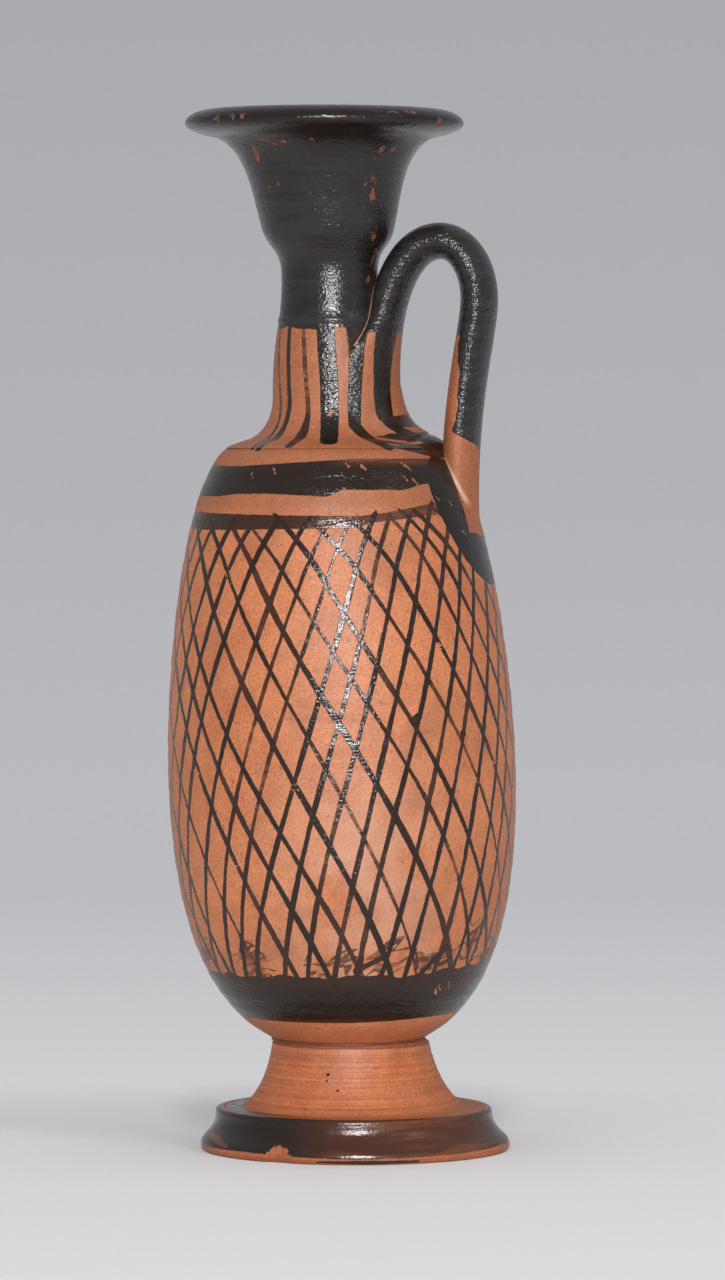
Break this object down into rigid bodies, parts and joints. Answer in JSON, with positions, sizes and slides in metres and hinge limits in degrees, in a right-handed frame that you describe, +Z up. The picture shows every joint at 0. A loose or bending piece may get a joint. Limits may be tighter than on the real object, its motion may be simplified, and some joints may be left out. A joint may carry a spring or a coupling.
{
  "type": "lekythos",
  "caption": "Slender ceramic oil jar on a disc foot, with an ovoid body, narrow neck, funnel mouth with a thick lip and a strap handle; painted net pattern in black gloss on orange clay.",
  "frame": {"origin": "on the surface it stands on, straight below the middle of the body's widest ring", "axes": "+Z up along the vessel's height, +X towards the handle, +Y to the left of someone who looks along +X"},
  "size_m": [0.0604, 0.0604, 0.18],
  "materials": {
    "clay": "smoothed, slightly burnished",
    "black_gloss": "satin, worn at edges",
    "luting": "matt"
  },
  "bodies": {
    "root": {"foot": "clay", "foot_luting": "luting", "body": "clay", "neck_luting": "luting", "neck": "clay", "mouth_luting": "luting", "mouth": "black_gloss", "handle": "black_gloss", "handle_top_luting": "luting", "handle_base_luting": "luting"}
  },
  "joints": []
}
